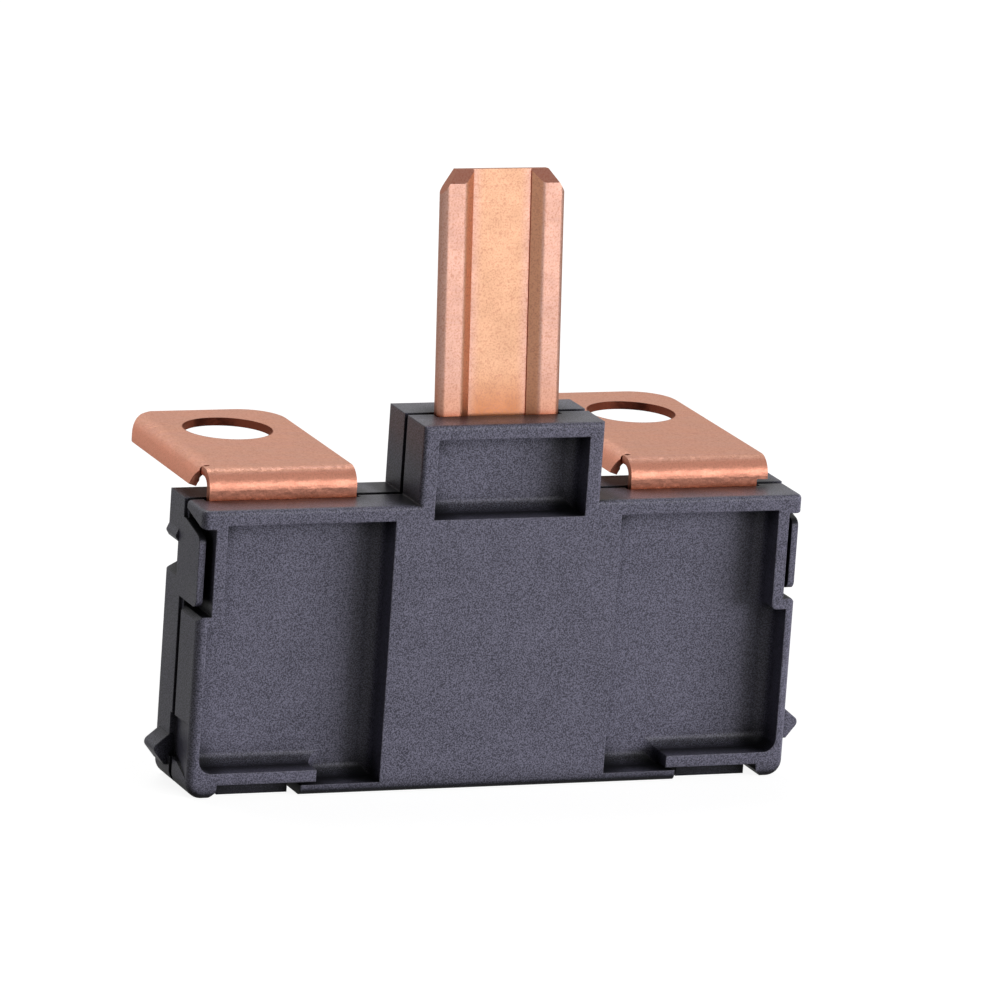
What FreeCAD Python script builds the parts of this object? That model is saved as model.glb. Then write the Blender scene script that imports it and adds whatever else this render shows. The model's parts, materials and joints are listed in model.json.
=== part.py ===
import FreeCAD, Part
import math
import os
import re
import Sketcher

# Multi fuse block: a two-part moulded housing that clamps one stamped copper conductor.
# Frame: X to the right, Y from the front to the back, Z up. The origin is the centre of the
# housing's base, at half of its depth. Depths named in the sheet are counted from the front.

DRIVING_SIZES = [
    ("body_width", 46.5, "housing, side to side"),
    ("body_depth", 7.4, "housing, front to back"),
    ("body_height", 21.35, "housing, base to top rim"),
    ("cover_depth", 3.7, "front face to the parting plane"),
    ("neck_width", 14.0, "neck round the blade"),
    ("neck_height", 5.85, "neck above the rim"),
    ("neck_offset", 0.2, "neck and panel from the middle"),
    ("corner_radius", 0.55, "upright front corners"),
    ("base_radius", 1.2, "lower outer corners, seen from the front"),
    ("cover_seam", 0.15, "cover's rebate along the seam"),
    ("rear_seam", 0.45, "rear half's rebate along the seam"),
    ("seam_depth", 0.22, "depth of both rebates"),
    ("edge_radius", 0.32, "top front edge, neck and rear edges"),
    ("recess_depth", 2.5, "windows in the front face"),
    ("cove_radius", 0.9, "between a window's floor and its walls"),
    ("window_foot", 1.0, "round at a window's lower outer corner"),
    ("wall_end_round", 0.4, "round at the upper side wall's end"),
    ("rim_height", 1.1, "rim above the windows"),
    ("panel_width", 17.5, "raised panel between the windows"),
    ("arm_room", 1.03, "upper side wall, set in from the side"),
    ("upper_wall", 0.86, "upper side wall thickness"),
    ("upper_wall_end", 12.75, "lower end of the upper side wall"),
    ("lower_wall", 0.75, "lower side wall thickness"),
    ("lower_wall_top", 13.55, "upper end of the lower side wall"),
    ("lower_wall_bevel", 0.35, "bevel on that end"),
    ("shelf_top", 1.9, "shelf under each window"),
    ("shelf_bottom", 1.03, "underside of that shelf"),
    ("shelf_start", 13.65, "shelf's inner end, from the neck's middle"),
    ("panel_foot", 0.8, "lip along the panel's base"),
    ("panel_foot_half", 14.6, "half length of that lip"),
    ("corner_foot", 2.2, "width of each corner foot"),
    ("foot_bevel", 0.55, "bevel on a foot's inner side"),
    ("neck_window_width", 11.7, "window in the neck"),
    ("neck_window_margin", 1.05, "neck window to the neck's top"),
    ("rim_end_drop", 0.25, "rim's end, below the rim at the front"),
    ("rim_end_rise", 0.8, "rise of the rim end's underside to the parting plane"),
    ("arm_thickness", 0.5, "side arm of the rear half"),
    ("arm_setback", 0.6, "arm's front edge behind the front face"),
    ("arm_bottom", 14.1, "lower end of the side arm"),
    ("arm_gap", 0.85, "arm's top edge to the rim"),
    ("arm_round", 0.6, "arm's front corners, seen from the side"),
    ("tongue_inner", 15.2, "bottom tongue, inner end"),
    ("tongue_outer", 20.6, "bottom tongue, outer end"),
    ("tongue_setback", 1.2, "tongue's front behind the front face"),
    ("tongue_height", 0.9, "tongue, up from the base"),
    ("notch_depth", 2.4, "rear corner notch, in from the back"),
    ("notch_width", 0.86, "rear corner notch, in from the side"),
    ("notch_bottom", 15.35, "rear corner notch, lower end at the side"),
    ("notch_height", 2.55, "rear corner notch, at the side"),
    ("notch_slope", 0.45, "slope of the notch's upper and lower faces"),
    ("nose_reach", 0.25, "nose over the notch, out from the side"),
    ("nose_height", 0.95, "nose over the notch"),
    ("nose_crest", 0.4, "nose's crest above the notch"),
    ("nose_round", 0.25, "round on the nose's crest"),
    ("bump_reach", 1.3, "side bump, out from the side"),
    ("bump_rise", 1.05, "bump's crest to its top"),
    ("bump_fall", 1.25, "bump's crest to its foot"),
    ("bump_lip", 0.3, "bump's foot, out from the side"),
    ("bump_round", 0.45, "round on the bump's crest"),
    ("left_bump_height", 2.7, "crest of the left bump"),
    ("left_bump_front", 4.4, "front of the left bump"),
    ("left_bump_length", 2.2, "left bump, front to back"),
    ("right_bump_height", 4.0, "crest of the right bump"),
    ("right_bump_front", 0.65, "front of the right bump"),
    ("right_bump_length", 2.2, "right bump, front to back"),
    ("pocket_foot", 1.4, "side pocket's lower edge where it opens"),
    ("pocket_bottom", 2.15, "side pocket's lower edge further in"),
    ("pocket_slope", 2.6, "end of the slope between the two, from the face"),
    ("pocket_margin", 0.5, "side pocket's shallow end to the face"),
    ("pocket_top", 5.4, "side pocket, upper edge"),
    ("pocket_depth", 0.5, "side pocket's deep end, in from the side"),
    ("sheet", 0.6, "copper sheet"),
    ("sheet_front", 3.05, "sheet's front face"),
    ("sheet_room", 0.25, "round the sheet's edges in its seat"),
    ("sheet_play", 0.05, "in front of the sheet in its seat"),
    ("left_leg_edge", 10.56, "left leg's inner edge, from the middle"),
    ("left_leg_width", 11.25, "left leg"),
    ("right_leg_edge", 10.8, "right leg's inner edge, from the middle"),
    ("right_leg_width", 10.8, "right leg"),
    ("leg_step", 0.85, "right leg, narrower below its shoulder"),
    ("leg_shoulder", 1.6, "shoulder below the tab's top"),
    ("leg_bottom", 11.65, "lower end of both legs"),
    ("tab_rise", 2.1, "tab's top face above the rim"),
    ("tab_bend", 1.4, "outer radius of the tab's bend"),
    ("left_tab_reach", 21.35, "left tab's back edge"),
    ("right_tab_reach", 23.95, "right tab's back edge"),
    ("tab_corner", 3.0, "tab's right rear corner"),
    ("bolt_hole", 6.6, "bolt hole"),
    ("left_hole_back", 5.7, "left hole's centre to the back edge"),
    ("left_hole_side", 5.5, "left hole's centre to the right edge"),
    ("right_hole_back", 6.3, "right hole's centre to the back edge"),
    ("right_hole_side", 5.0, "right hole's centre to the right edge"),
    ("flange_bend", 2.0, "outer radius of the flange"),
    ("flange_drop", 1.35, "flange's lower edge below the tab"),
    ("flange_overhang", 0.95, "flange outside the leg"),
    ("flange_front", 5.2, "flange's front end"),
    ("flange_corner", 5.6, "flange's rear corner, seen from above"),
    ("flange_corner_start", 4.8, "start of that corner, from the back edge"),
    ("relief_radius", 0.35, "relief hole between leg and flange"),
    ("relief_inset", 0.3, "relief hole's centre, in from the leg's edge"),
    ("blade_width", 9.5, "blade across its folded edges"),
    ("blade_length", 17.75, "blade above the neck"),
    ("blade_lean", 6.4, "blade's lean to the back, in degrees"),
    ("bend_rise", 2.0, "bend that gives the lean, above the rim"),
    ("fold_flat", 1.75, "folded edge, flat part"),
    ("fold_flank", 0.75, "folded edge, sloping inner flank"),
    ("fold_lip", 0.1, "folded edge's rim, above the sheet"),
    ("fold_seat", 0.8, "folded edge's start below the neck's top"),
    ("fold_round", 0.5, "round on the blade's outer edges"),
    ("fold_crest", 0.8, "round between the folded edge's flat and flank"),
    ("tip_bevel", 1.0, "lead-in bevel on the folded edges"),
    ("tip_corner_width", 1.2, "tip's corner cut, across"),
    ("tip_corner_height", 1.75, "tip's corner cut, down"),
    ("blade_room", 0.1, "round the blade in the neck"),
    ("plate_width", 12.0, "conductor's middle plate"),
    ("plate_bottom", 9.15, "middle plate's lower edge"),
    ("plate_drop", 1.35, "middle plate's upper edge below the rim"),
    ("link_width", 1.8, "fuse link"),
    ("link_bottom", 5.35, "fuse link's lower edge"),
    ("link_inner", 3.2, "fuse link's inner edge, from the middle"),
    ("link_outer", 15.2, "fuse link's outer edge, from the middle"),
    ("link_neck", 0.35, "cut into each edge at the link's neck"),
    ("link_neck_length", 1.4, "length of the link's neck"),
    ("link_neck_place", 7.2, "neck's place, from the middle"),
    ("chamber_half", 17.5, "half width of the room round the links"),
    ("chamber_bottom", 4.15, "lower wall of that room"),
    ("chamber_depth", 2.0, "room in the rear half"),
    ("chamber_rib", 2.0, "rib between the two rear rooms"),
    ("post_radius", 1.2, "locating posts"),
    ("post_play", 0.1, "round each post in the conductor"),
    ("leg_post_height", 16.15, "posts in the legs"),
    ("plate_post_height", 14.15, "post in the middle plate"),
    ("post_reach", 0.55, "posts, forward of the parting plane"),
    ("pellet_shank", 0.45, "tin pellet's shank radius"),
    ("pellet_head", 0.8, "tin pellet's head radius"),
    ("pellet_crown", 0.4, "head's height behind the sheet"),
    ("pellet_place", 9.6, "pellet, from the middle"),
    ("embed", 0.6, "how far a joined piece runs into its neighbour"),
    ("overcut", 1.0, "how far a cutter runs past a face"),
]

doc = FreeCAD.newDocument("multi_fuse_block")
sheet = doc.addObject("Spreadsheet::Sheet", "sizes")
for row, (alias, number, meaning) in enumerate(DRIVING_SIZES, 1):
    sheet.set("A%d" % row, alias)
    sheet.set("B%d" % row, str(number))
    sheet.set("C%d" % row, meaning)
    sheet.setAlias("B%d" % row, alias)
doc.recompute()
ALIASES = {alias for alias, number, meaning in DRIVING_SIZES}


def sized(text):
    """A formula of sheet names, written the way an expression needs it."""
    return re.sub(r"[a-z_]+", lambda word: "sizes." + word[0] if word[0] in ALIASES else word[0], str(text))


def value(text):
    found = sheet.evalExpression(sized(text))
    return float(getattr(found, "Value", found))


def bind(item, **formulas):
    for name, text in formulas.items():
        item.setExpression(name, sized(text))


def place(item, x="0", y="0", z="0"):
    for axis, text in (("x", x), ("y", y), ("z", z)):
        item.setExpression("Placement.Base." + axis, sized(text))


# Places that many features share, as formulas of the driving sizes.
HALF = "body_width / 2"
FRONT = "(0 - body_depth / 2)"
BACK = "(body_depth / 2)"
PARTING = "(cover_depth - body_depth / 2)"
NECK_LEFT = "(neck_offset - neck_width / 2)"
NECK_RIGHT = "(neck_offset + neck_width / 2)"
NECK_TOP = "(body_height + neck_height)"
RIM_BOTTOM = "(body_height - rim_height)"
UPPER_INNER = "(body_width / 2 - arm_room - upper_wall)"
LOWER_INNER = "(body_width / 2 - lower_wall)"
SHEET_FRONT = "(sheet_front - body_depth / 2)"
SHEET_BACK = "(sheet_front + sheet - body_depth / 2)"
TAB_TOP = "(body_height + tab_rise)"
RIM_END = "(body_height - rim_height - rim_end_drop)"
PLATE_TOP = "(body_height - plate_drop)"
BLADE_BEND = "(body_height + bend_rise)"


def new_body(name):
    body = doc.addObject("PartDesign::Body", name)
    body.Label = name
    return body


def new_sketch(body, name, role, offset):
    sketch = body.newObject("Sketcher::SketchObject", name)
    plane = [item for item in body.Origin.OriginFeatures if item.Role == role][0]
    sketch.AttachmentSupport = [(plane, "")]
    sketch.MapMode = "FlatFace"
    sketch.setExpression(".AttachmentOffset.Base.z", sized(offset))
    return sketch


def pin_point(sketch, element, point, x, y):
    for kind, text in (("DistanceX", x), ("DistanceY", y)):
        index = sketch.addConstraint(Sketcher.Constraint(kind, -1, 1, element, point, value(text)))
        sketch.setExpression("Constraints[%d]" % index, sized(text))


def outline(body, name, role, offset, points):
    """A closed sketch of straight edges. Each corner is a pair of formulas."""
    sketch = new_sketch(body, name, role, offset)
    corners = [FreeCAD.Vector(value(x), value(y), 0) for x, y in points]
    count = len(corners)
    for index in range(count):
        sketch.addGeometry(Part.LineSegment(corners[index], corners[(index + 1) % count]))
    for index in range(count):
        sketch.addConstraint(Sketcher.Constraint("Coincident", index, 2, (index + 1) % count, 1))
    for index, (x, y) in enumerate(points):
        pin_point(sketch, index, 1, x, y)
    return sketch


def circle(body, name, role, offset, x, y, radius):
    sketch = new_sketch(body, name, role, offset)
    centre = FreeCAD.Vector(value(x), value(y), 0)
    sketch.addGeometry(Part.Circle(centre, FreeCAD.Vector(0, 0, 1), value(radius)))
    pin_point(sketch, 0, 3, x, y)
    index = sketch.addConstraint(Sketcher.Constraint("Radius", 0, value(radius)))
    sketch.setExpression("Constraints[%d]" % index, sized(radius))
    return sketch


def box_points(low_x, low_y, high_x, high_y):
    return [(low_x, low_y), (high_x, low_y), (high_x, high_y), (low_x, high_y)]


def pad(body, sketch, length, flip=False):
    feature = body.newObject("PartDesign::Pad", sketch.Name + "_pad")
    feature.Profile = sketch
    feature.Reversed = flip
    bind(feature, Length=length)
    doc.recompute()
    return feature


def pocket(body, sketch, length, flip=False):
    feature = body.newObject("PartDesign::Pocket", sketch.Name + "_cut")
    before = body.Shape.Volume
    feature.Profile = sketch
    feature.Reversed = flip
    bind(feature, Length=length)
    doc.recompute()
    if not feature.Shape.Volume < before - 1e-6:
        raise ValueError(feature.Name + " cuts nothing")
    return feature


def fillet(body, name, radius, test):
    """Round the edges of the body's last feature whose two ends and middle all pass the test."""
    base = body.Tip
    chosen = []
    for index, edge in enumerate(base.Shape.Edges, 1):
        middle = edge.valueAt((edge.FirstParameter + edge.LastParameter) / 2)
        spots = [vertex.Point for vertex in edge.Vertexes] + [middle]
        if all(test(spot) for spot in spots):
            chosen.append("Edge%d" % index)
    if not chosen:
        raise ValueError(name + " finds no edge")
    feature = body.newObject("PartDesign::Fillet", name)
    feature.Base = (base, chosen)
    bind(feature, Radius=radius)
    doc.recompute()
    return feature


def near(number, text):
    return abs(number - value(text)) < 1e-4


def side_box(side, inner, low, outer, high):
    """A rectangle beside the middle plane, the same on the left, side -1, and on the right, side 1."""
    return box_points("%d * %s" % (side, inner), low, "%d * %s" % (side, outer), high)


def tool(name, kind, **formulas):
    item = doc.addObject(kind, name)
    bind(item, **formulas)
    return item


def joined(name, items):
    whole = doc.addObject("Part::MultiFuse", name)
    whole.Shapes = items
    return whole


def cut(name, base, cutter):
    result = doc.addObject("Part::Cut", name)
    result.Base = base
    result.Tool = cutter
    result.Label = name
    doc.recompute()
    if not result.Shape.Volume < base.Shape.Volume - 1e-6:
        raise ValueError(name + " cuts nothing")
    return result


SIDES = (("left", -1), ("right", 1))

# Outline of both housing halves, seen from the front: the body with the neck on top.
HOUSING_OUTLINE = [
    ("0 - " + HALF, "0"),
    (HALF, "0"),
    (HALF, "body_height"),
    (NECK_RIGHT, "body_height"),
    (NECK_RIGHT, NECK_TOP),
    (NECK_LEFT, NECK_TOP),
    (NECK_LEFT, "body_height"),
    ("0 - " + HALF, "body_height"),
]

# The same outline along the seam, smaller all round by the depth of the rebate.
SEAM_OUTLINE = [
    ("base_radius - " + HALF, "0"),
    (HALF + " - base_radius", "0"),
    (HALF + " - seam_depth", "base_radius"),
    (HALF + " - seam_depth", "body_height - seam_depth"),
    (NECK_RIGHT + " - seam_depth", "body_height - seam_depth"),
    (NECK_RIGHT + " - seam_depth", NECK_TOP + " - seam_depth"),
    (NECK_LEFT + " + seam_depth", NECK_TOP + " - seam_depth"),
    (NECK_LEFT + " + seam_depth", "body_height - seam_depth"),
    ("seam_depth - " + HALF, "body_height - seam_depth"),
    ("seam_depth - " + HALF, "base_radius"),
]


def leaning(name):
    """Place a tool that follows the blade: its origin is the sheet's front face at the bend."""
    item = doc.getObject(name)
    item.Placement = FreeCAD.Placement(FreeCAD.Vector(), FreeCAD.Rotation(FreeCAD.Vector(-1, 0, 0), 1))
    place(item, "0", SHEET_FRONT, BLADE_BEND)
    item.setExpression("Placement.Rotation.Angle", sized("blade_lean"))


# Blade, drawn upright from its bend: the sheet, with both edges folded over to the front.
BLADE_START = "(0 - sheet / 2)"
BLADE_TOP = "((neck_height - bend_rise) / cos(blade_lean * 1deg) + blade_length)"
FOLD_START = "(neck_height - bend_rise - fold_seat)"
blade = new_body("blade")
blade_half = "blade_width / 2"
pad(blade, outline(blade, "blade_sheet", "XY_Plane", BLADE_START,
                   box_points("0 - " + blade_half, "0", blade_half, "sheet")),
    BLADE_TOP + " - " + BLADE_START)
for side_name, side in SIDES:
    fold = [
        ("%d * blade_width / 2" % side, "sheet / 2"),
        ("%d * blade_width / 2" % side, "0 - sheet"),
        ("%d * (blade_width / 2 - fold_flat)" % side, "0 - sheet"),
        ("%d * (blade_width / 2 - fold_flat - fold_flank)" % side, "0 - fold_lip"),
        ("%d * (blade_width / 2 - fold_flat - fold_flank)" % side, "sheet / 2"),
    ]
    pad(blade, outline(blade, side_name + "_fold", "XY_Plane", FOLD_START, fold),
        BLADE_TOP + " - " + FOLD_START)
fillet(blade, "fold_crests", "fold_crest",
       lambda spot: near(abs(spot.x), "blade_width / 2 - fold_flat") and near(spot.y, "0 - sheet"))
fillet(blade, "blade_rounds", "fold_round",
       lambda spot: near(abs(spot.x), blade_half) and near(abs(spot.y), "sheet"))
for side_name, side in SIDES:
    bevel = [
        ("0", BLADE_TOP),
        ("0 - sheet", BLADE_TOP + " - tip_bevel"),
        ("0 - sheet - overcut", BLADE_TOP + " - tip_bevel"),
        ("0 - sheet - overcut", BLADE_TOP + " + overcut"),
        ("0", BLADE_TOP + " + overcut"),
    ]
    sketch = outline(blade, side_name + "_bevel", "YZ_Plane",
                     "%d * (blade_width / 2 + overcut)" % side, bevel)
    pocket(blade, sketch, "fold_flat + fold_flank + overcut", flip=side < 0)
    corner = [
        ("%d * (blade_width / 2 - tip_corner_width)" % side, BLADE_TOP),
        ("%d * blade_width / 2" % side, BLADE_TOP + " - tip_corner_height"),
        ("%d * (blade_width / 2 + overcut)" % side, BLADE_TOP + " - tip_corner_height"),
        ("%d * (blade_width / 2 + overcut)" % side, BLADE_TOP + " + overcut"),
        ("%d * (blade_width / 2 - tip_corner_width)" % side, BLADE_TOP + " + overcut"),
    ]
    sketch = outline(blade, side_name + "_corner", "XZ_Plane", "sheet + overcut", corner)
    pocket(blade, sketch, "2 * (sheet + overcut)")
leaning("blade")

# Tools for the blade's way out of the neck: room for the sheet, and for the folded edges.
PASSAGE_HALF = "(blade_width / 2 + blade_room)"
passage = new_body("blade_passage")
pad(passage, outline(passage, "sheet_passage", "XY_Plane", BLADE_START,
                     box_points("0 - " + PASSAGE_HALF, "0 - sheet_play",
                                PASSAGE_HALF, "sheet + blade_room")),
    BLADE_TOP + " - " + BLADE_START)
pad(passage, outline(passage, "fold_passage", "XY_Plane", FOLD_START + " - blade_room",
                     box_points("0 - " + PASSAGE_HALF, "0 - sheet - blade_room", PASSAGE_HALF, "sheet")),
    BLADE_TOP + " - " + FOLD_START)
leaning("blade_passage")


def cut_side_pocket(body, side_name, side):
    """The pocket that ramps down to the bump, from the front on the left and from the back on the right."""
    span = {"left": "(left_bump_front - pocket_margin)",
            "right": "(body_depth - right_bump_front - right_bump_length - pocket_margin)"}[side_name]
    mouth = "(body_depth / 2 - pocket_margin)"
    profile = [
        ("%d * %s" % (side, mouth), "pocket_foot"),
        ("%d * (body_depth / 2 - pocket_slope)" % side, "pocket_bottom"),
        ("%d * (%s - %s)" % (side, mouth, span), "pocket_bottom"),
        ("%d * (%s - %s)" % (side, mouth, span), "pocket_top"),
        ("%d * %s" % (side, mouth), "pocket_top"),
    ]
    sketch = outline(body, side_name + "_side_pocket", "YZ_Plane",
                     "%d * (body_width / 2 - %s * pocket_depth / %s)" % (side, mouth, span), profile)
    sketch.AttachmentOffset = FreeCAD.Placement(sketch.AttachmentOffset.Base,
                                                FreeCAD.Rotation(FreeCAD.Vector(0, -1, 0), 1))
    sketch.setExpression(".AttachmentOffset.Rotation.Angle", sized("atan(pocket_depth / %s)" % span))
    pocket(body, sketch, "pocket_depth + overcut", flip=side > 0)


def add_bump(body, side_name, side):
    """The round bump low on a side face, behind its pocket on the left and before it on the right."""
    crest = side_name + "_bump_height"
    profile = [
        ("%d * (body_width / 2 - embed)" % side, crest + " + bump_rise"),
        ("%d * body_width / 2" % side, crest + " + bump_rise"),
        ("%d * (body_width / 2 + bump_reach)" % side, crest),
        ("%d * (body_width / 2 + bump_lip)" % side, crest + " - bump_fall"),
        ("%d * (body_width / 2 - embed)" % side, crest + " - bump_fall"),
    ]
    sketch = outline(body, side_name + "_bump", "XZ_Plane",
                     "0 - (%s + %s_bump_front)" % (FRONT, side_name), profile)
    pad(body, sketch, side_name + "_bump_length", flip=True)
    fillet(body, side_name + "_bump_crest", "bump_round",
           lambda spot: near(abs(spot.x), HALF + " + bump_reach"))


# Front cover: the panel stands proud between two windows, with a third window in the neck.
cover = new_body("cover")
pad(cover, outline(cover, "cover_block", "XZ_Plane", "cover_seam - " + PARTING, HOUSING_OUTLINE),
    "cover_depth - cover_seam")
fillet(cover, "cover_base_rounds", "base_radius",
       lambda spot: near(abs(spot.x), HALF) and near(spot.z, "0"))
fillet(cover, "cover_corner_rounds", "corner_radius",
       lambda spot: near(abs(spot.x), HALF) and near(spot.y, FRONT))
fillet(cover, "cover_front_rounds", "edge_radius",
       lambda spot: near(spot.y, FRONT) and spot.z > value("body_height") - 1e-4)
pad(cover, outline(cover, "cover_seam_edge", "XZ_Plane", "0 - " + PARTING, SEAM_OUTLINE), "embed")
for side_name, side in SIDES:
    edge = "(neck_offset + %d * panel_width / 2)" % side
    shelf_end = "(neck_offset + %d * shelf_start)" % side
    window = [
        (edge, "panel_foot"),
        (shelf_end, "panel_foot"),
        (shelf_end, "shelf_top"),
        ("%d * %s" % (side, LOWER_INNER), "shelf_top"),
        ("%d * %s" % (side, LOWER_INNER), "upper_wall_end"),
        ("%d * %s" % (side, UPPER_INNER), "upper_wall_end"),
        ("%d * %s" % (side, UPPER_INNER), RIM_BOTTOM),
        (edge, RIM_BOTTOM),
    ]
    pocket(cover, outline(cover, side_name + "_window", "XZ_Plane", "0 - " + FRONT, window), "recess_depth")
neck_window = box_points("neck_offset - neck_window_width / 2", RIM_BOTTOM,
                         "neck_offset + neck_window_width / 2", NECK_TOP + " - neck_window_margin")
pocket(cover, outline(cover, "neck_window", "XZ_Plane", "0 - " + FRONT, neck_window), "recess_depth")
fillet(cover, "window_feet", "window_foot",
       lambda spot: near(abs(spot.x), LOWER_INNER) and near(spot.z, "shelf_top"))
fillet(cover, "upper_wall_ends", "wall_end_round",
       lambda spot: near(abs(spot.x), UPPER_INNER) and near(spot.z, "upper_wall_end"))
fillet(cover, "window_coves", "cove_radius",
       lambda spot: near(spot.y, FRONT + " + recess_depth"))
for side_name, side in SIDES:
    slit = box_points("%d * panel_foot_half" % side, "panel_foot",
                      "neck_offset + %d * shelf_start" % side, "shelf_bottom")
    pocket(cover, outline(cover, side_name + "_slit", "XZ_Plane", "0 - " + FRONT, slit), "recess_depth")
    notch = [
        ("%d * panel_foot_half" % side, "0 - overcut"),
        ("%d * (body_width / 2 - corner_foot + foot_bevel + overcut)" % side, "0 - overcut"),
        ("%d * (body_width / 2 - corner_foot)" % side, "foot_bevel"),
        ("%d * (body_width / 2 - corner_foot)" % side, "shelf_bottom"),
        ("%d * panel_foot_half" % side, "shelf_bottom"),
    ]
    sketch = outline(cover, side_name + "_base_notch", "XZ_Plane", "0 - " + FRONT, notch)
    pocket(cover, sketch, "cover_depth")
    relief = [
        (FRONT + " - overcut", "lower_wall_top"),
        (PARTING + " + overcut", "lower_wall_top"),
        (PARTING + " + overcut", RIM_END + " + rim_end_rise * (1 + overcut / cover_depth)"),
        (FRONT + " - overcut", RIM_END + " - rim_end_rise * overcut / cover_depth"),
    ]
    sketch = outline(cover, side_name + "_arm_room", "YZ_Plane",
                     "%d * (body_width / 2 + overcut)" % side, relief)
    pocket(cover, sketch, "arm_room + overcut", flip=side < 0)
    bevel = [
        ("%d * (body_width / 2 - lower_wall_bevel)" % side, "lower_wall_top + overcut"),
        ("%d * (body_width / 2 - lower_wall_bevel)" % side, "lower_wall_top"),
        ("%d * body_width / 2" % side, "lower_wall_top - lower_wall_bevel"),
        ("%d * (body_width / 2 + overcut)" % side, "lower_wall_top - lower_wall_bevel"),
        ("%d * (body_width / 2 + overcut)" % side, "lower_wall_top + overcut"),
    ]
    sketch = outline(cover, side_name + "_wall_bevel", "XZ_Plane", "0 - " + FRONT, bevel)
    pocket(cover, sketch, "cover_depth")
    cut_side_pocket(cover, side_name, side)
add_bump(cover, "right", 1)

# The conductor's seat, cut into the cover from the parting plane.
SEAT_FRONT = "(%s - sheet_play)" % SHEET_FRONT
CHAMBER_TOP = "(leg_bottom - sheet_room)"
SEAT_BOTTOM = "(leg_bottom - 2 * sheet_room)"
PLATE_HALF = "(plate_width / 2 + sheet_room)"
BLADE_SEAT_HALF = "(blade_width / 2 + sheet_room)"
SEATS = [
    ("link_seat", box_points("0 - chamber_half", "chamber_bottom", "chamber_half", CHAMBER_TOP)),
    ("left_leg_seat", box_points("0 - left_leg_edge - left_leg_width - sheet_room", SEAT_BOTTOM,
                                 "sheet_room - left_leg_edge", "body_height + overcut")),
    ("right_leg_seat", box_points("right_leg_edge - sheet_room", SEAT_BOTTOM,
                                  "right_leg_edge + right_leg_width - leg_step + sheet_room",
                                  "body_height + overcut")),
    ("plate_seat", box_points("0 - " + PLATE_HALF, SEAT_BOTTOM, PLATE_HALF, PLATE_TOP + " + sheet_room")),
    ("blade_seat", box_points("0 - " + BLADE_SEAT_HALF, PLATE_TOP, BLADE_SEAT_HALF, BLADE_BEND)),
]
for seat_name, seat in SEATS:
    sketch = outline(cover, seat_name, "XZ_Plane", "0 - " + SEAT_FRONT, seat)
    pocket(cover, sketch, "%s - %s" % (PARTING, SEAT_FRONT))
front_cover = cut("front_cover", cover, passage)

ARM_FRONT = "(arm_setback - body_depth / 2)"
ARM_TOP = "(%s + rim_end_rise * arm_setback / cover_depth - arm_gap)" % RIM_END

# Rear half: side arms and base tongues reach forward round the cover, and posts locate the conductor.
rear = new_body("rear")
pad(rear, outline(rear, "rear_block", "XZ_Plane", "0 - rear_seam - " + PARTING, HOUSING_OUTLINE),
    "body_depth - cover_depth - rear_seam", flip=True)
fillet(rear, "rear_base_rounds", "base_radius",
       lambda spot: near(abs(spot.x), HALF) and near(spot.z, "0"))
fillet(rear, "rear_edge_rounds", "edge_radius",
       lambda spot: near(spot.y, BACK) and not near(spot.z, "0"))
pad(rear, outline(rear, "rear_seam_edge", "XZ_Plane", "0 - " + PARTING, SEAM_OUTLINE), "embed", flip=True)
for side_name, side in SIDES:
    low, high = "notch_bottom", "notch_bottom + notch_height"
    notch = [
        ("%d * (body_width / 2 + overcut)" % side, low),
        ("%d * body_width / 2" % side, low),
        ("%d * (body_width / 2 - notch_width)" % side, low + " + notch_slope"),
        ("%d * (body_width / 2 - notch_width)" % side, high + " - notch_slope"),
        ("%d * body_width / 2" % side, high),
        ("%d * (body_width / 2 + overcut)" % side, high),
    ]
    sketch = outline(rear, side_name + "_rear_notch", "XZ_Plane", "notch_depth - " + BACK, notch)
    pocket(rear, sketch, "notch_depth + overcut")
    nose = [
        ("%d * (body_width / 2 - nose_reach)" % side, high),
        ("%d * body_width / 2" % side, high),
        ("%d * (body_width / 2 + nose_reach)" % side, high + " + nose_crest"),
        ("%d * body_width / 2" % side, high + " + nose_height"),
        ("%d * (body_width / 2 - nose_reach)" % side, high + " + nose_height"),
    ]
    sketch = outline(rear, side_name + "_nose", "XZ_Plane", "notch_depth - " + BACK, nose)
    pad(rear, sketch, "notch_depth - edge_radius", flip=True)
    arm = [
        (ARM_FRONT, "arm_bottom"),
        (PARTING + " + embed", "arm_bottom"),
        (PARTING + " + embed", RIM_END + " + rim_end_rise - arm_gap"),
        (PARTING, RIM_END + " + rim_end_rise - arm_gap"),
        (ARM_FRONT, ARM_TOP),
    ]
    sketch = outline(rear, side_name + "_arm", "YZ_Plane", "%d * body_width / 2" % side, arm)
    pad(rear, sketch, "arm_thickness", flip=side > 0)
    tongue = side_box(side, "tongue_inner", "0", "tongue_outer", "tongue_height")
    sketch = outline(rear, side_name + "_tongue", "XZ_Plane", "0 - %s - embed" % PARTING, tongue)
    pad(rear, sketch, "cover_depth - tongue_setback + embed")
    room = side_box(side, "chamber_rib", "chamber_bottom", "chamber_half", CHAMBER_TOP)
    pocket(rear, outline(rear, side_name + "_chamber", "XZ_Plane", "0 - " + PARTING, room), "chamber_depth")
fillet(rear, "nose_crests", "nose_round",
       lambda spot: near(abs(spot.x), HALF + " + nose_reach"))
fillet(rear, "arm_corners", "arm_round",
       lambda spot: near(spot.y, ARM_FRONT) and (near(spot.z, ARM_TOP) or near(spot.z, "arm_bottom")))
for side_name, side in SIDES:
    cut_side_pocket(rear, side_name, side)
add_bump(rear, "left", -1)

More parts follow.
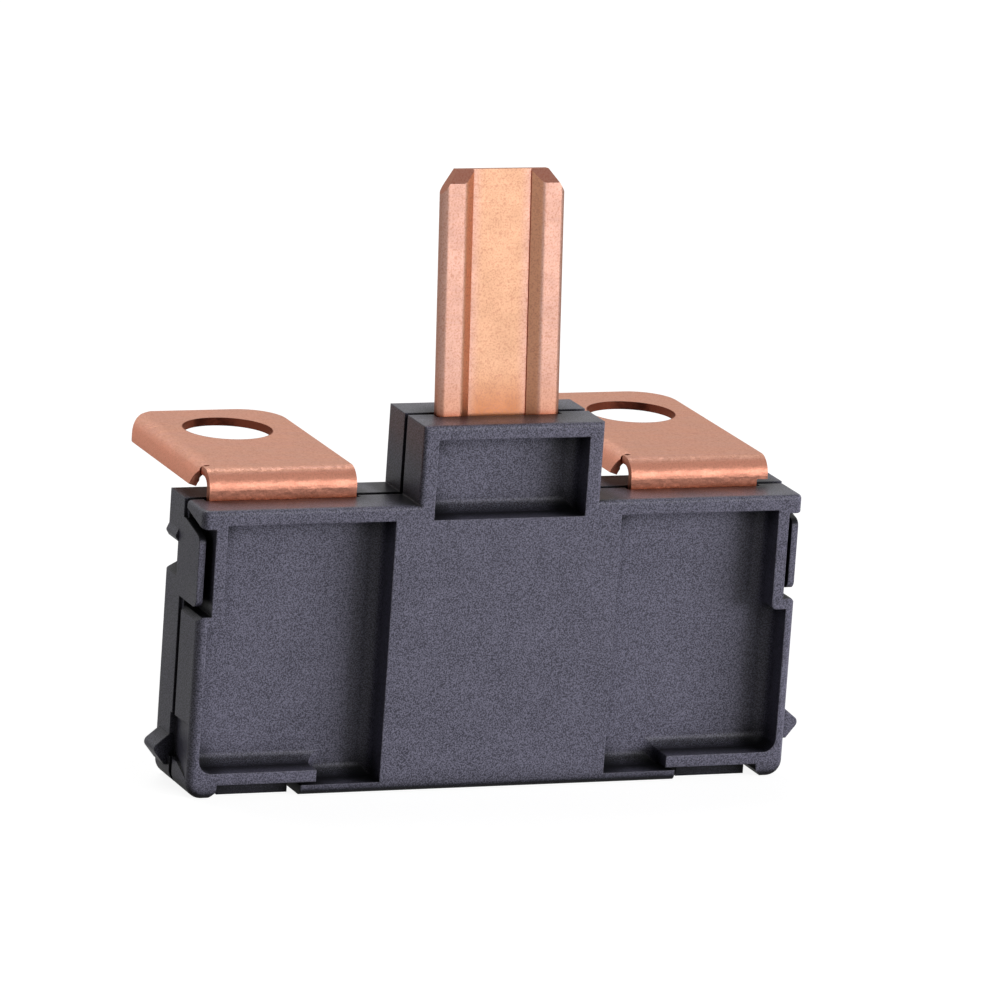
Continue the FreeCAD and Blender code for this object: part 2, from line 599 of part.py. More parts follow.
# The conductor hangs on three posts of the rear half.
POSTS = [
    ("left_post", "0 - left_leg_edge - left_leg_width / 2", "leg_post_height"),
    ("right_post", "right_leg_edge + right_leg_width / 2", "leg_post_height"),
    ("middle_post", "0", "plate_post_height"),
]
for post_name, x, z in POSTS:
    pad(rear, circle(rear, post_name, "XZ_Plane", "0 - " + PARTING, x, z, "post_radius"), "post_reach")
rear_housing = cut("rear_housing", rear, passage)

# Conductor, middle part: plate, blade neck and the two narrow fuse links.
middle = new_body("middle_plate")
plate = box_points("0 - plate_width / 2", "plate_bottom", "plate_width / 2", PLATE_TOP)
pad(middle, outline(middle, "plate", "XZ_Plane", "0 - " + SHEET_BACK, plate), "sheet")
blade_neck = box_points("0 - " + blade_half, PLATE_TOP + " - embed", blade_half, BLADE_BEND)
pad(middle, outline(middle, "blade_neck", "XZ_Plane", "0 - " + SHEET_BACK, blade_neck), "sheet")
for side_name, side in SIDES:
    inner = "(%d * link_inner)" % side
    inner_far = "(%d * (link_inner + link_width))" % side
    outer = "(%d * link_outer)" % side
    outer_near = "(%d * (link_outer - link_width))" % side
    link = [
        (inner, "link_bottom"),
        (outer, "link_bottom"),
        (outer, "leg_bottom + embed"),
        (outer_near, "leg_bottom + embed"),
        (outer_near, "link_bottom + link_width"),
        (inner_far, "link_bottom + link_width"),
        (inner_far, "plate_bottom + embed"),
        (inner, "plate_bottom + embed"),
    ]
    pad(middle, outline(middle, side_name + "_link", "XZ_Plane", "0 - " + SHEET_BACK, link), "sheet")
    start = "%d * (link_neck_place - link_neck_length / 2)" % side
    end = "%d * (link_neck_place + link_neck_length / 2)" % side
    for edge_name, low, high in (
            ("lower", "link_bottom - overcut", "link_bottom + link_neck"),
            ("upper", "link_bottom + link_width - link_neck", "link_bottom + link_width + overcut")):
        sketch = outline(middle, "%s_%s_neck" % (side_name, edge_name), "XZ_Plane", "0 - " + SHEET_FRONT,
                         box_points(start, low, end, high))
        pocket(middle, sketch, "sheet")
    hole = circle(middle, side_name + "_pellet_hole", "XZ_Plane", "0 - " + SHEET_FRONT,
                  "%d * pellet_place" % side, "link_bottom + link_width / 2", "pellet_shank")
    pocket(middle, hole, "sheet")
hole = circle(middle, "middle_post_hole", "XZ_Plane", "0 - " + SHEET_FRONT,
              "0", "plate_post_height", "post_radius + post_play")
pocket(middle, hole, "sheet")


def bolt_tab(name, left, width, reach, hole_back, hole_side, post_x, step):
    """A leg that bends back over the rim, with a bolt hole and a flange rolled down along its left edge."""
    rear_edge = "(%s - body_depth / 2)" % reach
    right = "(%s + %s)" % (left, width)
    axis = "(%s - flange_overhang + flange_bend)" % left
    flange_start = "(flange_front - body_depth / 2)"
    tab = new_body(name + "_tab")
    profile = [
        (SHEET_FRONT, "leg_bottom"),
        (SHEET_BACK, "leg_bottom"),
        (SHEET_BACK, TAB_TOP + " - sheet"),
        (rear_edge, TAB_TOP + " - sheet"),
        (rear_edge, TAB_TOP),
        (SHEET_FRONT, TAB_TOP),
    ]
    pad(tab, outline(tab, name + "_leg", "YZ_Plane", left, profile), width)
    fillet(tab, name + "_outer_bend", "tab_bend",
           lambda spot: near(spot.y, SHEET_FRONT) and near(spot.z, TAB_TOP))
    fillet(tab, name + "_inner_bend", "tab_bend - sheet",
           lambda spot: near(spot.y, SHEET_BACK) and near(spot.z, TAB_TOP + " - sheet"))
    fillet(tab, name + "_tab_corner", "tab_corner",
           lambda spot: near(spot.x, right) and near(spot.y, rear_edge))
    strip = box_points("%s - overcut" % left, flange_start, axis, "%s + overcut" % rear_edge)
    pocket(tab, outline(tab, name + "_flange_strip", "XY_Plane", TAB_TOP, strip), "sheet")
    hole = circle(tab, name + "_bolt_hole", "XY_Plane", TAB_TOP, "%s - %s" % (right, hole_side),
                  "%s - %s" % (rear_edge, hole_back), "bolt_hole / 2")
    pocket(tab, hole, "sheet")
    hole = circle(tab, name + "_post_hole", "XZ_Plane", "0 - " + SHEET_FRONT, post_x, "leg_post_height",
                  "post_radius + post_play")
    pocket(tab, hole, "sheet")
    if step:
        narrow = box_points(right + " - leg_step", "leg_bottom - overcut", right + " + overcut",
                            TAB_TOP + " - leg_shoulder")
        pocket(tab, outline(tab, name + "_leg_step", "XZ_Plane", "0 - " + SHEET_FRONT, narrow), "sheet")

    # The flange is a sector of a tube that lies along Y.
    sweep = "90deg - asin((flange_bend - flange_drop) / flange_bend)"
    length = "(%s - %s)" % (rear_edge, flange_start)
    outer = tool(name + "_flange_outer", "Part::Cylinder", Radius="flange_bend", Height=length, Angle=sweep)
    inner = tool(name + "_flange_inner", "Part::Cylinder", Radius="flange_bend - sheet", Height=length)
    for item in (outer, inner):
        # The tube's own axis turns to point to the front, and the sector starts at the top.
        item.Placement = FreeCAD.Placement(FreeCAD.Vector(), FreeCAD.Rotation(
            FreeCAD.Vector(0, 0, 1), FreeCAD.Vector(-1, 0, 0), FreeCAD.Vector(0, -1, 0), "ZXY"))
        place(item, axis, rear_edge, TAB_TOP + " - flange_bend")
    flange = cut(name + "_flange", outer, inner)
    shape = joined(name + "_tab_and_flange", [tab, flange])

    # The left rear corner is round in plan, and a round relief ends the slit between leg and flange.
    corner_x = "(%s - flange_overhang)" % left
    tall = "flange_drop + 2 * overcut"
    low = TAB_TOP + " - flange_drop - overcut"
    block = tool(name + "_corner_block", "Part::Box", Length="flange_corner / 2 + overcut",
                 Width="flange_corner_start + overcut", Height=tall)
    place(block, corner_x + " - overcut", rear_edge + " - flange_corner_start", low)
    keep = tool(name + "_corner_keep", "Part::Cylinder", Radius="flange_corner", Height=tall)
    place(keep, corner_x + " + flange_corner", rear_edge + " - flange_corner_start", low)
    corner = cut(name + "_corner_waste", block, keep)
    relief = tool(name + "_relief", "Part::Cylinder", Radius="relief_radius", Height="2 * tab_bend")
    place(relief, left + " + relief_inset", flange_start, TAB_TOP + " - tab_bend")
    return cut(name + "_bolt_tab", shape, joined(name + "_tab_waste", [corner, relief]))


left_bolt_tab = bolt_tab("left", "(0 - left_leg_edge - left_leg_width)", "left_leg_width", "left_tab_reach",
                         "left_hole_back", "left_hole_side", POSTS[0][1], step=False)
right_bolt_tab = bolt_tab("right", "right_leg_edge", "right_leg_width", "right_tab_reach",
                          "right_hole_back", "right_hole_side", POSTS[1][1], step=True)
fuse_conductor = joined("fuse_conductor", [middle, left_bolt_tab, right_bolt_tab, blade])
fuse_conductor.Refine = True
fuse_conductor.Label = "fuse_conductor"


def tin_pellet(side_name, side):
    """A rivet of low melting metal: its shank fills the link's hole and its head lies behind the link."""
    pellet = new_body(side_name + "_tin_pellet")
    x, z = "%d * pellet_place" % side, "link_bottom + link_width / 2"
    pad(pellet, circle(pellet, side_name + "_shank", "XZ_Plane", "0 - " + SHEET_FRONT, x, z, "pellet_shank"),
        "sheet", flip=True)
    pad(pellet, circle(pellet, side_name + "_head", "XZ_Plane", "0 - " + SHEET_BACK, x, z, "pellet_head"),
        "pellet_crown", flip=True)
    fillet(pellet, side_name + "_crown", "pellet_crown / 2",
           lambda spot: near(spot.y, SHEET_BACK + " + pellet_crown"))
    return pellet


NODES = [front_cover, rear_housing, fuse_conductor] + [tin_pellet(*pair) for pair in SIDES]
doc.recompute()

for item in doc.Objects:
    if "Invalid" in item.State or "Error" in item.State:
        raise ValueError(item.Name + " did not compute")
for node in NODES:
    if node.Shape.isNull() or not node.Shape.isValid() or len(node.Shape.Solids) != 1:
        raise ValueError(node.Label + " is not one valid solid")
os.makedirs("parts", exist_ok=True)
for node in NODES:
    node.Shape.exportStep(os.path.join("parts", node.Label + ".step"))
    print(node.Label, round(node.Shape.Volume, 2), node.Shape.BoundBox)
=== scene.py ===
"""Multi fuse block: a camera at the photo's angle, soft light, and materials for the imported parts."""

import json
import math

import bpy
from mathutils import Matrix, Vector


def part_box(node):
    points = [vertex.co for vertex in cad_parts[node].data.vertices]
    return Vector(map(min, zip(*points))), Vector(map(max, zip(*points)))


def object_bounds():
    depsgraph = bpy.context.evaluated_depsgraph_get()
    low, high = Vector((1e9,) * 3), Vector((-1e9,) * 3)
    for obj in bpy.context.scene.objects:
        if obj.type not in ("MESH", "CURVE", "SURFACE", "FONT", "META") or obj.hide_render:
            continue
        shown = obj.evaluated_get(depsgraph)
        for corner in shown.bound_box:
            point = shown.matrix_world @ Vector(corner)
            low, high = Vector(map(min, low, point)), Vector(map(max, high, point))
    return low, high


MM = 0.001
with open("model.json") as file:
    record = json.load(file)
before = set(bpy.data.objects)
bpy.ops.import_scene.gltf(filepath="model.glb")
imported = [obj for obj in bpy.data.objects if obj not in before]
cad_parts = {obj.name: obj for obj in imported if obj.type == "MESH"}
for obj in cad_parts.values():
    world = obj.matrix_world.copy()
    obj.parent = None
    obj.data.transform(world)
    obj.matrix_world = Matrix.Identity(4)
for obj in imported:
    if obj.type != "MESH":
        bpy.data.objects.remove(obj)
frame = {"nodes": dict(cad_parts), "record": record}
cad_low, cad_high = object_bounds()
nodes = frame["nodes"]
bolt_holes = [mount for mount in frame["record"]["mounts"] if mount["kind"] == "bore"]
hole_level = bolt_holes[0]["pos_m"][2]
neck_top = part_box("front_cover")[1][2]
blade_top = cad_high[2]


# Camera

CAMERA_PLACE = Vector((-233.82, -572.29, 172.64)) * MM
CAMERA_YAW = math.radians(22.3)
CAMERA_PITCH = math.radians(13.809)
CAMERA_ROLL = math.radians(3.98)
CAMERA_LENS = 316.03
CAMERA_SENSOR = 36.0
CAMERA_NEAR = 0.01
CAMERA_FAR = 20.0


def make_camera():
    """The photo's camera: it looks right and down, and is rolled a little."""
    level = Vector((math.cos(CAMERA_YAW), -math.sin(CAMERA_YAW), 0.0))
    ahead = Vector((math.sin(CAMERA_YAW), math.cos(CAMERA_YAW), 0.0)) * math.cos(CAMERA_PITCH)
    ahead.z = -math.sin(CAMERA_PITCH)
    upright = level.cross(ahead)
    right = math.cos(CAMERA_ROLL) * level + math.sin(CAMERA_ROLL) * upright
    up = math.cos(CAMERA_ROLL) * upright - math.sin(CAMERA_ROLL) * level
    data = bpy.data.cameras.new("camera")
    data.lens = CAMERA_LENS
    data.sensor_width = CAMERA_SENSOR
    data.clip_start = CAMERA_NEAR
    data.clip_end = CAMERA_FAR
    camera = bpy.data.objects.new("camera", data)
    turn = Matrix((right, up, -ahead)).transposed().to_4x4()
    camera.matrix_world = Matrix.Translation(CAMERA_PLACE) @ turn
    bpy.context.scene.collection.objects.link(camera)
    bpy.context.scene.camera = camera


# Shader helpers

FULL = (0.0, 1.0)
NO_STRETCH = (1.0, 1.0, 1.0)
NO_TURN = (0.0, 0.0, 0.0)
NOISE_WIDE = (0.30, 0.70)
NOISE_NARROW = (0.35, 0.65)
# Rays that feel for an edge or a crease at each shaded point
SIDE_RAYS = 6
# The colour sockets of a mix node
FIRST_COLOUR = 6
SECOND_COLOUR = 7
MIXED_COLOUR = 2


def add(tree, kind, settings=None, inputs=None):
    """A new shader node. An input is a plain value, or a socket of another node to link from."""
    node = tree.nodes.new(kind)
    for name, setting in (settings or {}).items():
        setattr(node, name, setting)
    for name, given in (inputs or {}).items():
        if isinstance(given, bpy.types.NodeSocket):
            tree.links.new(given, node.inputs[name])
        else:
            node.inputs[name].default_value = given
    return node


def math_node(tree, operation, first, second=0.0):
    return add(tree, "ShaderNodeMath", {"operation": operation}, {0: first, 1: second}).outputs[0]


def multiply(tree, product, *factors):
    for factor in factors:
        product = math_node(tree, "MULTIPLY", product, factor)
    return product


def split(tree, vector):
    """The X, Y and Z sockets of a vector."""
    return add(tree, "ShaderNodeSeparateXYZ", None, {0: vector}).outputs


def shifted(span, start):
    """A span that is written from a start, such as a level that the frame gives."""
    return [start + step for step in span]


def ramp(tree, factor, span, values=FULL):
    """A factor that crosses the span goes smoothly from the first value to the second, level outside."""
    node = add(tree, "ShaderNodeMapRange", {"clamp": True, "interpolation_type": "SMOOTHSTEP"},
               {"Value": factor, "From Min": span[0], "From Max": span[1],
                "To Min": values[0], "To Max": values[1]})
    return node.outputs["Result"]


def mix_colour(tree, share, first, second):
    """The first colour with a share of the second over it. A colour is plain or a socket."""
    node = add(tree, "ShaderNodeMix", {"data_type": "RGBA"}, {"Factor": share})
    for number, colour in ((FIRST_COLOUR, first), (SECOND_COLOUR, second)):
        if isinstance(colour, bpy.types.NodeSocket):
            tree.links.new(colour, node.inputs[number])
        else:
            node.inputs[number].default_value = (*colour, 1.0)
    return node.outputs[MIXED_COLOUR]


def noise(tree, place, size, detail=2.0, roughness=0.5, stretch=NO_STRETCH, turn=NO_TURN):
    """Noise with grains of this size in metres, drawn out along an axis by a stretch under 1."""
    mapped = add(tree, "ShaderNodeMapping", None,
                 {"Vector": place, "Rotation": turn, "Scale": [axis / size for axis in stretch]})
    node = add(tree, "ShaderNodeTexNoise", None,
               {"Vector": mapped.outputs[0], "Scale": 1.0, "Detail": detail, "Roughness": roughness})
    return node.outputs["Fac"]


def openness(tree, reach):
    """1 on an open surface, less in a crease or corner that is narrower than the reach."""
    node = add(tree, "ShaderNodeAmbientOcclusion", {"samples": SIDE_RAYS}, {"Distance": reach})
    return node.outputs["AO"]


def part_place(tree):
    """The shaded point's place in its own node, so that a texture stays on the part."""
    return add(tree, "ShaderNodeTexCoord").outputs["Object"]


def start_material(name):
    material = bpy.data.materials.new(name)
    material.use_nodes = True
    tree = material.node_tree
    tree.nodes.clear()
    return material, tree


def end_material(tree, shader):
    add(tree, "ShaderNodeOutputMaterial", None, {"Surface": shader.outputs[0]})


# Moulded housing plastic

PLASTIC_DARK = (0.015, 0.014, 0.024)
PLASTIC_LIGHT = (0.172, 0.166, 0.228)
PLASTIC_EDGE = (0.095, 0.092, 0.115)
# Painted shade: the near-black that creases and ledges under a wall are mixed towards
PLASTIC_PAINTED_SHADE = (0.010, 0.010, 0.012)
PLASTIC_CLOUD = 3.5 * MM
PLASTIC_CLOUD_SHARE = 0.2
PLASTIC_GRAIN = 0.10 * MM
PLASTIC_GRAIN_TURN = (0.6, 0.5, 0.3)
PLASTIC_GRAIN_SPAN = (0.32, 0.70)
PLASTIC_GRAIN_SHARE = 0.8
PLASTIC_GRAIN_HEIGHT = 0.02 * MM
PLASTIC_GRAIN_STRENGTH = 0.7
EDGE_RADIUS = 0.14 * MM
EDGE_FACING = (0.995, 0.90)
EDGE_WEAR_AND_HIGHLIGHT = (0.1, 0.4)
PLASTIC_REACH = 2.4 * MM
LEDGE_OPENNESS = (0.97, 0.80)
LEDGE_UPWARD = (0.05, 0.55)
CREASE_OPENNESS = (0.80, 0.46)
PLASTIC_ROUGH = (0.33, 0.41)
# Specular level on open faces, and the lower level in the painted shade of creases and ledges
PLASTIC_SPECULAR = (0.5, 0.12)


def housing_plastic():
    """Spark-textured moulded plastic: fine speckle, faint clouds, and edges a little lighter, partly
    rubbed wear and partly painted highlight.

    Creases, and ledges that lie under a wall, get painted shade: they are darker and duller.
    """
    material, tree = start_material("housing_plastic")
    place = part_place(tree)
    grain = noise(tree, place, PLASTIC_GRAIN, detail=1.5, turn=PLASTIC_GRAIN_TURN)
    cloud = noise(tree, place, PLASTIC_CLOUD, detail=3.0)
    speckle = multiply(tree, ramp(tree, grain, PLASTIC_GRAIN_SPAN), PLASTIC_GRAIN_SHARE)
    tone = math_node(tree, "ADD", speckle, multiply(tree, cloud, PLASTIC_CLOUD_SHARE))
    colour = mix_colour(tree, tone, PLASTIC_DARK, PLASTIC_LIGHT)
    rounded = add(tree, "ShaderNodeBevel", {"samples": SIDE_RAYS}, {"Radius": EDGE_RADIUS}).outputs[0]
    normal = add(tree, "ShaderNodeNewGeometry").outputs["Normal"]
    facing = add(tree, "ShaderNodeVectorMath", {"operation": "DOT_PRODUCT"}, {0: rounded, 1: normal})
    edge = ramp(tree, facing.outputs["Value"], EDGE_FACING)
    # Lighter edges in patches: partly rubbed wear, partly a painted highlight
    wear_and_highlight = multiply(tree, edge, ramp(tree, cloud, NOISE_NARROW, EDGE_WEAR_AND_HIGHLIGHT))
    colour = mix_colour(tree, wear_and_highlight, colour, PLASTIC_EDGE)
    # Painted shade: creases, and upward ledges under a wall, are mixed towards a near-black and made
    # duller
    open_share = openness(tree, PLASTIC_REACH)
    upward = ramp(tree, split(tree, normal)["Z"], LEDGE_UPWARD)
    ledge = multiply(tree, ramp(tree, open_share, LEDGE_OPENNESS), upward)
    crease = math_node(tree, "MAXIMUM", ledge, ramp(tree, open_share, CREASE_OPENNESS))
    colour = mix_colour(tree, crease, colour, PLASTIC_PAINTED_SHADE)
    bump = add(tree, "ShaderNodeBump", None,
               {"Strength": PLASTIC_GRAIN_STRENGTH, "Distance": PLASTIC_GRAIN_HEIGHT,
                "Height": grain, "Normal": rounded})
    shader = add(tree, "ShaderNodeBsdfPrincipled", None,
                 {"Base Color": colour, "Roughness": ramp(tree, cloud, NOISE_WIDE, PLASTIC_ROUGH),
                  "Specular IOR Level": ramp(tree, crease, FULL, PLASTIC_SPECULAR),
                  "Normal": bump.outputs[0]})
    end_material(tree, shader)
    return material


# Bare rolled copper

COPPER = (0.74, 0.410, 0.340)
COPPER_GRAZING = (1.0, 0.80, 0.70)
# The blade starts this far over the level of the bolt holes
BLADE_OVER_HOLES = (2.35 * MM, 1.35 * MM)
ROLLED_LINE = 0.05 * MM
BROAD_LINE = 0.20 * MM
ROLLED_STRETCH = (0.012, 1.0, 1.0)
STAIN = 1.6 * MM
COPPER_GRAIN = 0.13 * MM
COPPER_WAVE = 0.6 * MM
COPPER_WAVE_HEIGHT = 0.06 * MM
COPPER_WAVE_STRENGTH = (0.10, 0.65)
COPPER_RELIEF_SHARE = 0.5
COPPER_RELIEF_HEIGHT = 0.01 * MM
COPPER_RELIEF_STRENGTH = 0.45
COPPER_ROUGH = (0.27, 0.37)
COPPER_LINE_ROUGH = 0.06

# Each tint of the copper, the span over which it comes in, and its share at both ends of that span. Some
# tints are the copper's own marks; the others are painted light and shade.
DULL_TINT = (0.56, 0.285, 0.225)
DULL_SPAN = (0.35, 0.75)
DULL_SHARE = (0.0, 0.5)
WARM_TINT = (0.77, 0.420, 0.285)
WARM_BROAD_SHARE = (0.0, 0.6)
WARM_LINE_SHARE = (0.0, 0.3)
# Painted shade: tab faces that don't face straight up (bends, legs, flanges) get a darker, redder copy of
# the copper
BENT_PAINTED_SHADE = (0.72, 0.300, 0.205)
BENT_UPWARD = (0.98, 0.70)
BENT_SHARE = (0.0, 0.9)
# Painted light: the whole blade gets a paler, pinker copy of the copper than the tabs, as it looks in its
# brighter light
PALE_PAINTED_LIGHT = (0.76, 0.460, 0.375)
PALE_SHARE = 0.6
# Painted light: the front of the blade's middle channel gets a more orange copy of the copper, standing
# in for the front light's reflection
CHANNEL_PAINTED_LIGHT = (0.78, 0.445, 0.270)
CHANNEL_ASIDE = (2.365 * MM, 1.29 * MM)
CHANNEL_FORWARD = (0.0, -0.5)
CHANNEL_SHARE = (0.0, 0.85)
# Painted light and shade: the blade's sideways flanks get a redder, more saturated copy of the copper
# than its front
FLANK_PAINTED_LIGHT = (0.80, 0.370, 0.200)
FLANK_ASIDE = (3.3 * MM, 3.0 * MM)
FLANK_SIDEWAYS = (0.2, 0.5)
FLANK_SHARE = (0.0, 0.8)
# Painted shade: the blade turns darker and more orange over its lowest few millimetres above the neck
FOOT_PAINTED_SHADE = (0.62, 0.240, 0.110)
FOOT_OVER_NECK = (3.8 * MM, -0.4 * MM)
FOOT_SHARE = (0.45, 0.95)
GRIT_TINT = (0.55, 0.240, 0.160)
GRIT_SPAN = (0.40, 0.75)
GRIT_SHARE = (0.0, 0.7)
# Painted shade: a dark red that the copper is mixed towards in creases and close to other parts
COPPER_PAINTED_SHADE = (0.40, 0.080, 0.030)
COPPER_SHADE_REACH = 0.9 * MM
COPPER_SHADE_OPENNESS = (0.85, 0.40)
SHEARED_TINT = (0.30, 0.080, 0.045)
END_OVER_TOP = (-4.84 * MM, -3.84 * MM)
END_UPWARD = (0.3, 0.5)
END_SHARE = (0.0, 0.65)
WALL_OVER_RADIUS = (0.08 * MM, 0.02 * MM)
SEEN_FROM_ABOVE = (1.0, 1.0, 0.0)


def sheared_faces(tree, place, height, upward):
    """1 on the walls of both bolt holes, a share on the blade's cut end, 0 on the rolled faces."""
    flat = add(tree, "ShaderNodeVectorMath", {"operation": "MULTIPLY"}, {0: place, 1: SEEN_FROM_ABOVE})
    sheared = multiply(tree, ramp(tree, height, shifted(END_OVER_TOP, blade_top)),
                       ramp(tree, upward, END_UPWARD, END_SHARE))
    for hole in bolt_holes:
        x, y = hole["pos_m"][:2]
        away = add(tree, "ShaderNodeVectorMath", {"operation": "DISTANCE"},
                   {0: flat.outputs[0], 1: (x, y, 0.0)})
        wall = shifted(WALL_OVER_RADIUS, hole["dims"]["r_mm"] * MM)
        sheared = math_node(tree, "MAXIMUM", sheared, ramp(tree, away.outputs["Value"], wall))
    return sheared


def copper_tints(tree, place, tabs, lines, stain, grain):
    """A share and a tint for each layer over the plain copper, in order. Stains, rolling lines, grain and
    cut edges are the copper's own; the other layers are painted light and shade.
    """
    spot = split(tree, place)
    aside = math_node(tree, "ABSOLUTE", spot["X"])
    facing = split(tree, add(tree, "ShaderNodeNewGeometry").outputs["Normal"])
    sideways = math_node(tree, "ABSOLUTE", facing["X"])
    broad = noise(tree, place, BROAD_LINE, stretch=ROLLED_STRETCH)
    # Painted shade on the tab faces that don't face up
    bent_shade = multiply(tree, tabs, ramp(tree, facing["Z"], BENT_UPWARD, BENT_SHARE))
    blade = math_node(tree, "SUBTRACT", 1.0, tabs)
    middle = ramp(tree, aside, CHANNEL_ASIDE)
    # Painted light on the front-facing middle of the blade
    channel_light = multiply(tree, blade, middle, ramp(tree, facing["Y"], CHANNEL_FORWARD, CHANNEL_SHARE))
    # Painted light and shade on the blade's sideways-facing flanks
    flank_light = multiply(tree, blade, ramp(tree, aside, FLANK_ASIDE),
                     ramp(tree, sideways, FLANK_SIDEWAYS, FLANK_SHARE))
    # Painted shade at the blade's foot, strongest in its middle
    foot_shade = multiply(tree, blade, ramp(tree, spot["Z"], shifted(FOOT_OVER_NECK, neck_top)),
                    ramp(tree, middle, FULL, FOOT_SHARE))
    return (
        (ramp(tree, stain, DULL_SPAN, DULL_SHARE), DULL_TINT),
        (ramp(tree, broad, NOISE_NARROW, WARM_BROAD_SHARE), WARM_TINT),
        (ramp(tree, lines, NOISE_NARROW, WARM_LINE_SHARE), WARM_TINT),
        (bent_shade, BENT_PAINTED_SHADE),
        # Painted light over the whole blade
        (multiply(tree, blade, PALE_SHARE), PALE_PAINTED_LIGHT),
        (channel_light, CHANNEL_PAINTED_LIGHT),
        (flank_light, FLANK_PAINTED_LIGHT),
        (foot_shade, FOOT_PAINTED_SHADE),
        (ramp(tree, grain, GRIT_SPAN, GRIT_SHARE), GRIT_TINT),
        # Painted shade in creases and close to other parts
        (ramp(tree, openness(tree, COPPER_SHADE_REACH), COPPER_SHADE_OPENNESS), COPPER_PAINTED_SHADE),
        (sheared_faces(tree, place, spot["Z"], facing["Z"]), SHEARED_TINT),
    )


def bare_copper():
    """Stamped strip with a satin surface: rolling lines along X, soft stains and fine grain.

    The tabs are a little wavy from bending. The blade is smooth. Painted light makes it paler, and warmer
    on its front and flanks; painted shade darkens its foot, the tab bends and legs, and the creases.
    """
    material, tree = start_material("bare_copper")
    place = part_place(tree)
    lines = noise(tree, place, ROLLED_LINE, detail=3.0, stretch=ROLLED_STRETCH)
    stain = noise(tree, place, STAIN, detail=4.0, roughness=0.6)
    grain = noise(tree, place, COPPER_GRAIN, detail=1.5)
    wave = noise(tree, place, COPPER_WAVE)
    tabs = ramp(tree, split(tree, place)["Z"], shifted(BLADE_OVER_HOLES, hole_level))
    colour = COPPER
    for share, tint in copper_tints(tree, place, tabs, lines, stain, grain):
        colour = mix_colour(tree, share, colour, tint)
    waved = add(tree, "ShaderNodeBump", None,
                {"Strength": ramp(tree, tabs, FULL, COPPER_WAVE_STRENGTH), "Distance": COPPER_WAVE_HEIGHT,
                 "Height": wave})
    relief = math_node(tree, "ADD", multiply(tree, lines, COPPER_RELIEF_SHARE),
                       multiply(tree, grain, COPPER_RELIEF_SHARE))
    bump = add(tree, "ShaderNodeBump", None,
               {"Strength": COPPER_RELIEF_STRENGTH, "Distance": COPPER_RELIEF_HEIGHT,
                "Height": relief, "Normal": waved.outputs[0]})
    rough = math_node(tree, "ADD", ramp(tree, stain, NOISE_WIDE, COPPER_ROUGH),
                      multiply(tree, lines, COPPER_LINE_ROUGH))
    shader = add(tree, "ShaderNodeBsdfPrincipled", None,
                 {"Base Color": colour, "Metallic": 1.0, "Roughness": rough,
                  "Specular Tint": (*COPPER_GRAZING, 1.0), "Normal": bump.outputs[0]})
    end_material(tree, shader)
    return material


# Tin

TIN = (0.64, 0.64, 0.62)
TIN_DULL = (0.50, 0.50, 0.49)
TIN_CLOUD = 0.4 * MM
TIN_ROUGH = (0.30, 0.45)


def dull_tin():
    """Cast tin with a slightly clouded skin."""
    material, tree = start_material("dull_tin")
    cloud = noise(tree, part_place(tree), TIN_CLOUD, detail=3.0)
    colour = mix_colour(tree, ramp(tree, cloud, NOISE_WIDE), TIN, TIN_DULL)
    shader = add(tree, "ShaderNodeBsdfPrincipled", None,
                 {"Base Color": colour, "Metallic": 1.0,
                  "Roughness": ramp(tree, cloud, NOISE_WIDE, TIN_ROUGH)})
    end_material(tree, shader)
    return material


def dress_nodes():
    """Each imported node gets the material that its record's slot names. No mesh is changed."""
    made = {"housing": housing_plastic(), "copper": bare_copper(), "tin": dull_tin()}
    slots = {part["node"]: part["material_slot"] for part in frame["record"]["subparts"]}
    for name, node in nodes.items():
        for slot in node.material_slots:
            slot.material = made[slots[name]]


# Stage and light

FLOOR_SIZE = 6.0
FLOOR_COLOUR = (0.32, 0.32, 0.32)
FLOOR_GLOW = 0.90
FLOOR_SHEEN = 0.26
ROOM_SPAN = (0.0, 0.6)
ROOM_LEVELS = (0.05, 0.20)
ROOM_GLOW = 1.0
ROOM_SHEEN = 0.69
WHITE = (1.0, 1.0, 1.0, 1.0)
LAMPS = (
    {"name": "front_box", "place": (0.55, -0.95, 0.30), "aim": (0.0, 0.0, 0.03),
     "size": (0.95, 0.60), "power": 3.10, "mirrored": True},
    {"name": "key_box", "place": (1.00, -0.72, 0.15), "aim": (0.0, 0.0, 0.02),
     "size": (0.85, 0.28), "power": 20.5, "mirrored": False},
    {"name": "back_box", "place": (-0.10, 0.55, 0.90), "aim": (0.0, 0.0, 0.0),
     "size": (0.80, 0.60), "power": 3.5, "mirrored": True},
)


def seen_by(tree, camera_level, mirror_level):
    """What a camera ray sees, and the lower level that glossy and transmission rays see."""
    path = add(tree, "ShaderNodeLightPath").outputs
    mirrored = math_node(tree, "MAXIMUM", path["Is Glossy Ray"], path["Is Transmission Ray"])
    return math_node(tree, "MAXIMUM", multiply(tree, path["Is Camera Ray"], camera_level),
                     multiply(tree, mirrored, mirror_level))


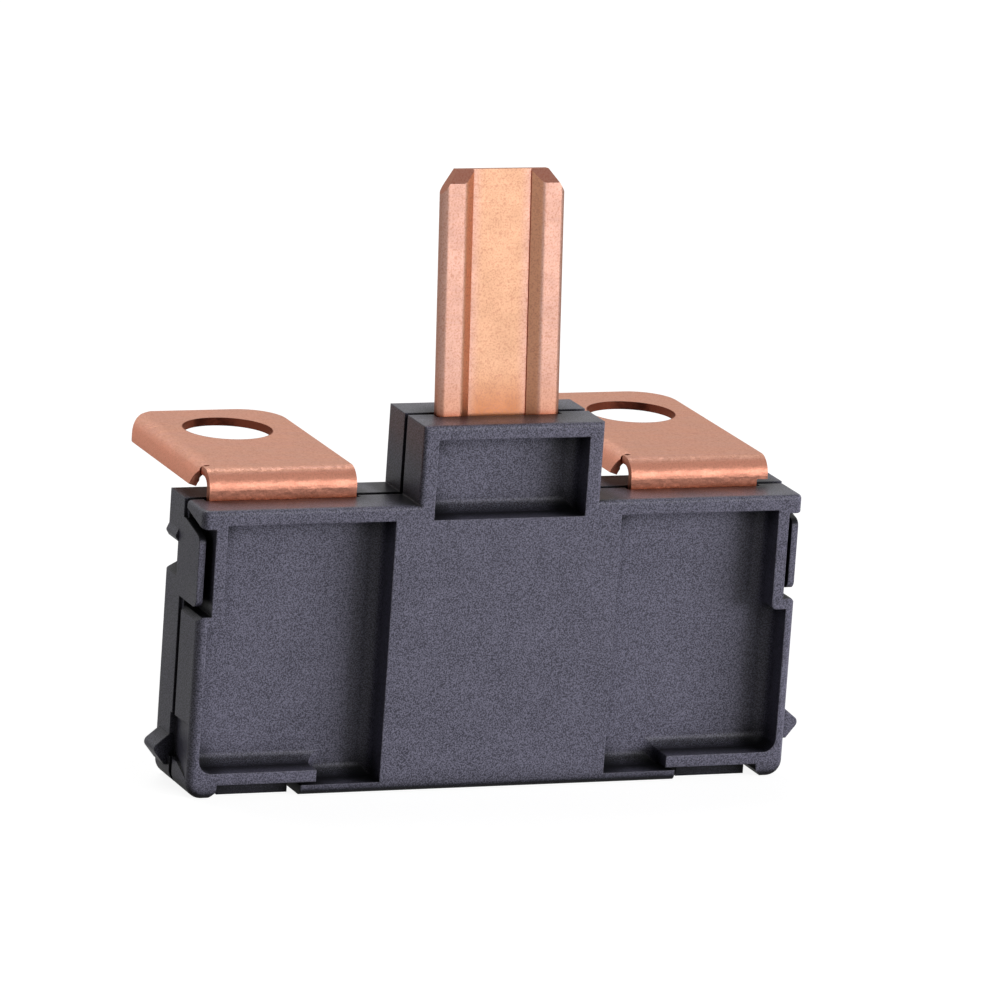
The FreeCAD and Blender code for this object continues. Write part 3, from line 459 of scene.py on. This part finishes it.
def make_floor():
    """A pale floor. It glows for camera and mirror rays, so it looks white and keeps its shadow."""
    half = FLOOR_SIZE / 2
    corners = [(-half, -half, 0), (half, -half, 0), (half, half, 0), (-half, half, 0)]
    mesh = bpy.data.meshes.new("floor")
    mesh.from_pydata(corners, [], [(0, 1, 2, 3)])
    floor = bpy.data.objects.new("floor", mesh)
    bpy.context.scene.collection.objects.link(floor)
    material, tree = start_material("floor_paper")
    paper = add(tree, "ShaderNodeBsdfDiffuse", None, {"Color": (*FLOOR_COLOUR, 1.0)})
    glow = add(tree, "ShaderNodeEmission", None, {"Strength": seen_by(tree, FLOOR_GLOW, FLOOR_SHEEN)})
    end_material(tree, add(tree, "ShaderNodeAddShader", None, {0: paper.outputs[0], 1: glow.outputs[0]}))
    mesh.materials.append(material)


def softbox(name, place, aim, size, power, mirrored):
    """An oblong soft lamp. One that isn't mirrored gives light, but shows in no shiny surface."""
    data = bpy.data.lights.new(name, "AREA")
    data.shape = "RECTANGLE"
    data.size, data.size_y = size
    data.energy = power
    lamp = bpy.data.objects.new(name, data)
    lamp.location = place
    lamp.rotation_euler = (Vector(aim) - Vector(place)).to_track_quat("-Z", "Y").to_euler()
    lamp.visible_glossy = mirrored
    bpy.context.scene.collection.objects.link(lamp)


def make_light():
    """A room that is pale behind the object and dark before it, white to the camera, and three lamps.

    Two low lamps stand on the right, before the object, and one hangs above and behind it.
    """
    world = bpy.data.worlds.new("studio")
    world.use_nodes = True
    tree = world.node_tree
    direction = split(tree, add(tree, "ShaderNodeTexCoord").outputs["Generated"])
    room = ramp(tree, direction["Y"], ROOM_SPAN, ROOM_LEVELS)
    level = math_node(tree, "MAXIMUM", room, seen_by(tree, ROOM_GLOW, ROOM_SHEEN))
    background = tree.nodes["Background"]
    background.inputs["Color"].default_value = WHITE
    tree.links.new(level, background.inputs["Strength"])
    bpy.context.scene.world = world
    for lamp in LAMPS:
        softbox(**lamp)


make_camera()
dress_nodes()
make_floor()
make_light()
bpy.context.scene.view_settings.view_transform = "Standard"
